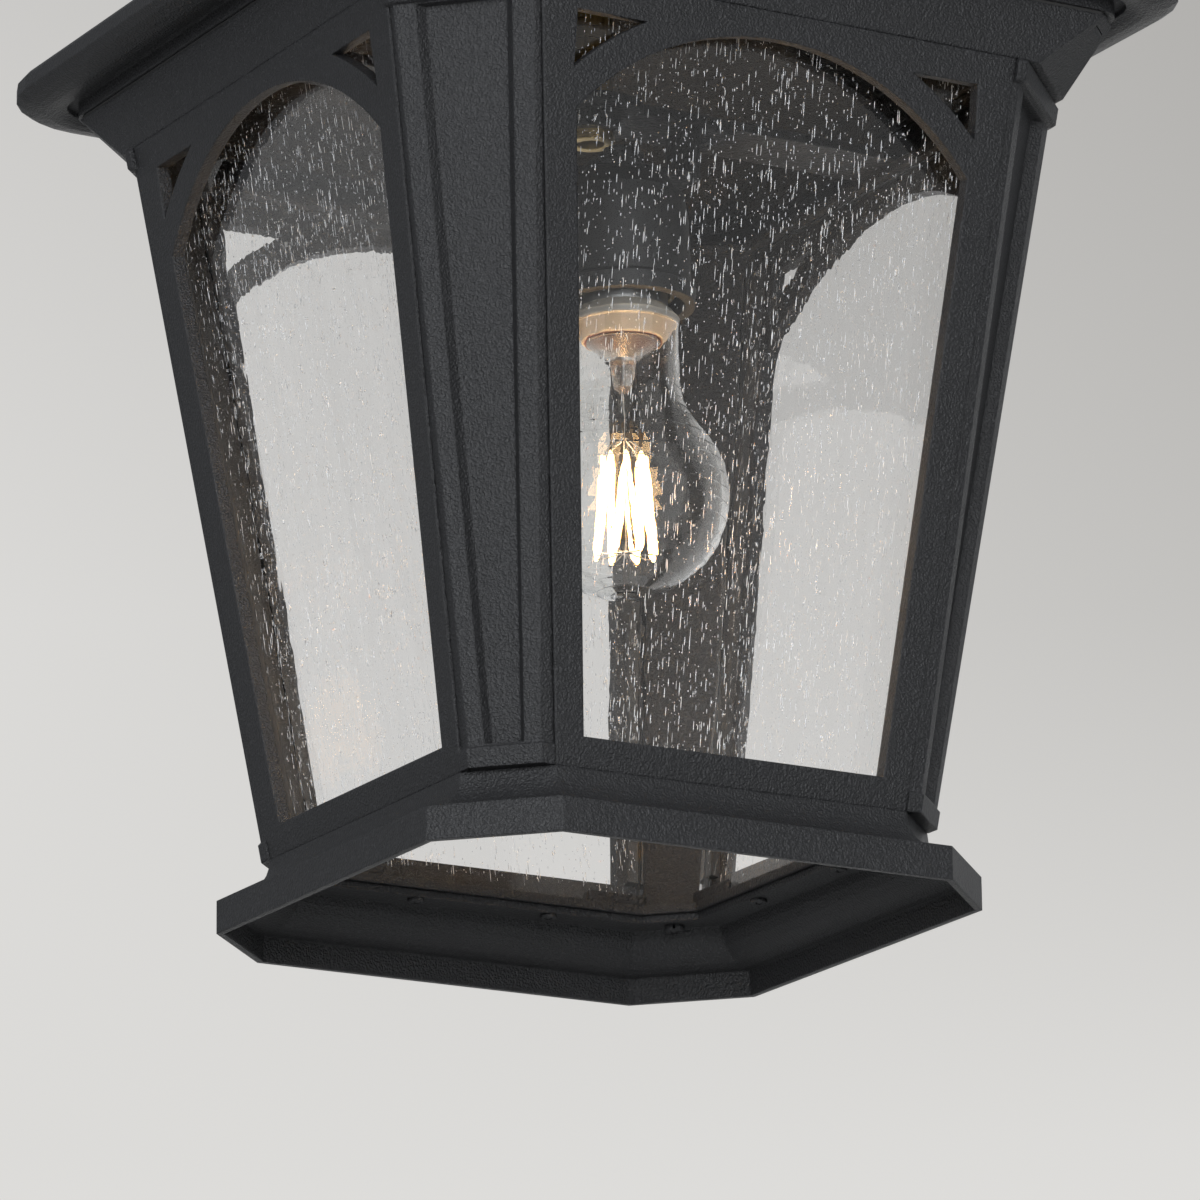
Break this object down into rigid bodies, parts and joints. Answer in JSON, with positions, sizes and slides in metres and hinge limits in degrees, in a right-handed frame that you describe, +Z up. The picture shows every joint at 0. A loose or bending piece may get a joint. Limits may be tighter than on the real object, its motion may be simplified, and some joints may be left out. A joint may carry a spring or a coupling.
{
  "type": "outdoor pendant light",
  "caption": "Hanging lantern with leaning arched windows, seeded glass, an open foot, a clear lamp, a chain and a ceiling canopy.",
  "frame": {"origin": "middle of the ceiling bracket's fixing slots, on the ceiling plane", "axes": "+Z up into the ceiling, -Y towards the front window, +X to its right"},
  "size_m": [0.2628, 0.2628, 0.5834],
  "materials": {
    "black_powder_coat": "matt black, finely textured powder coat on cast and spun aluminium",
    "black_steel": "black coated steel",
    "seeded_glass": "clear seeded glass",
    "lamp_glass": "clear blown glass",
    "brass": "turned brass",
    "zinc_steel": "zinc plated steel",
    "black_rubber": "soft black rubber",
    "black_bakelite": "moulded black thermoset",
    "white_plastic": "moulded off-white plastic",
    "ivory_ceramic": "ivory ceramic",
    "filament": "warm filament coating"
  },
  "bodies": {
    "ceiling": {"ceiling_bracket": "zinc_steel", "bracket_earth_screw": "zinc_steel", "canopy_tube": "brass", "canopy_tube_nut": "brass", "ceiling_canopy": "black_powder_coat", "canopy_loop": "black_powder_coat", "canopy_bush": "black_rubber"},
    "link_1": {"chain_link_1": "black_steel"},
    "link_2": {"chain_link_2": "black_steel"},
    "link_3": {"chain_link_3": "black_steel"},
    "link_4": {"chain_link_4": "black_steel"},
    "lantern": {"base_ring": "black_powder_coat", "glazing_ledge": "black_powder_coat", "glass_stops": "black_powder_coat", "glazing_pads": "black_rubber", "post_front_left": "black_powder_coat", "post_front_right": "black_powder_coat", "post_back_right": "black_powder_coat", "post_back_left": "black_powder_coat", "window_frame_front": "black_powder_coat", "window_frame_right": "black_powder_coat", "window_frame_back": "black_powder_coat", "window_frame_left": "black_powder_coat", "pane_front": "seeded_glass", "pane_right": "seeded_glass", "pane_back": "seeded_glass", "pane_left": "seeded_glass", "foot_screws": "black_steel", "ledge_screws": "black_steel", "head_screws": "black_steel", "frieze_ring": "black_powder_coat", "roof_gasket": "black_rubber", "roof_shell": "black_powder_coat", "vented_neck": "black_powder_coat", "crown_cap": "black_powder_coat", "crossbar": "zinc_steel", "crossbar_screws": "zinc_steel", "hanger_tube": "brass", "hanger_nut": "brass", "hanging_loop": "black_powder_coat", "loop_bush": "black_rubber", "holder_saddle": "zinc_steel", "saddle_screws": "zinc_steel", "holder_nipple": "brass", "nipple_nut": "brass", "holder_body": "black_bakelite", "holder_shell": "brass", "holder_contact": "brass", "terminal_block": "white_plastic", "earth_screw": "zinc_steel"},
    "lamp": {"lamp_glass": "lamp_glass", "lamp_collar": "ivory_ceramic", "lamp_cap": "zinc_steel", "lamp_insulator": "black_bakelite", "lamp_tip": "zinc_steel", "lamp_stem": "lamp_glass", "lamp_supports": "zinc_steel", "lamp_filaments": "filament"}
  },
  "joints": [
    {"name": "link_1_swing", "type": "hinge", "parent": "ceiling", "child": "link_1", "pos_m": [0, 0, -0.067], "axis": [1, 0, 0], "range_deg": [-20, 20]},
    {"name": "link_2_swing", "type": "hinge", "parent": "link_1", "child": "link_2", "pos_m": [0, 0, -0.0955], "axis": [0, 1, 0], "range_deg": [-20, 20]},
    {"name": "link_3_swing", "type": "hinge", "parent": "link_2", "child": "link_3", "pos_m": [0, 0, -0.1248], "axis": [1, 0, 0], "range_deg": [-20, 20]},
    {"name": "link_4_swing", "type": "hinge", "parent": "link_3", "child": "link_4", "pos_m": [0, 0, -0.1541], "axis": [0, 1, 0], "range_deg": [-20, 20]},
    {"name": "lantern_swing", "type": "hinge", "parent": "link_4", "child": "lantern", "pos_m": [0, 0, -0.1834], "axis": [1, 0, 0], "range_deg": [-20, 20]},
    {"name": "lamp_turn", "type": "hinge", "parent": "lantern", "child": "lamp", "pos_m": [0.0075, -0.0043, -0.4586], "axis": [0, 0, -1], "range_deg": [0, 1080]}
  ]
}
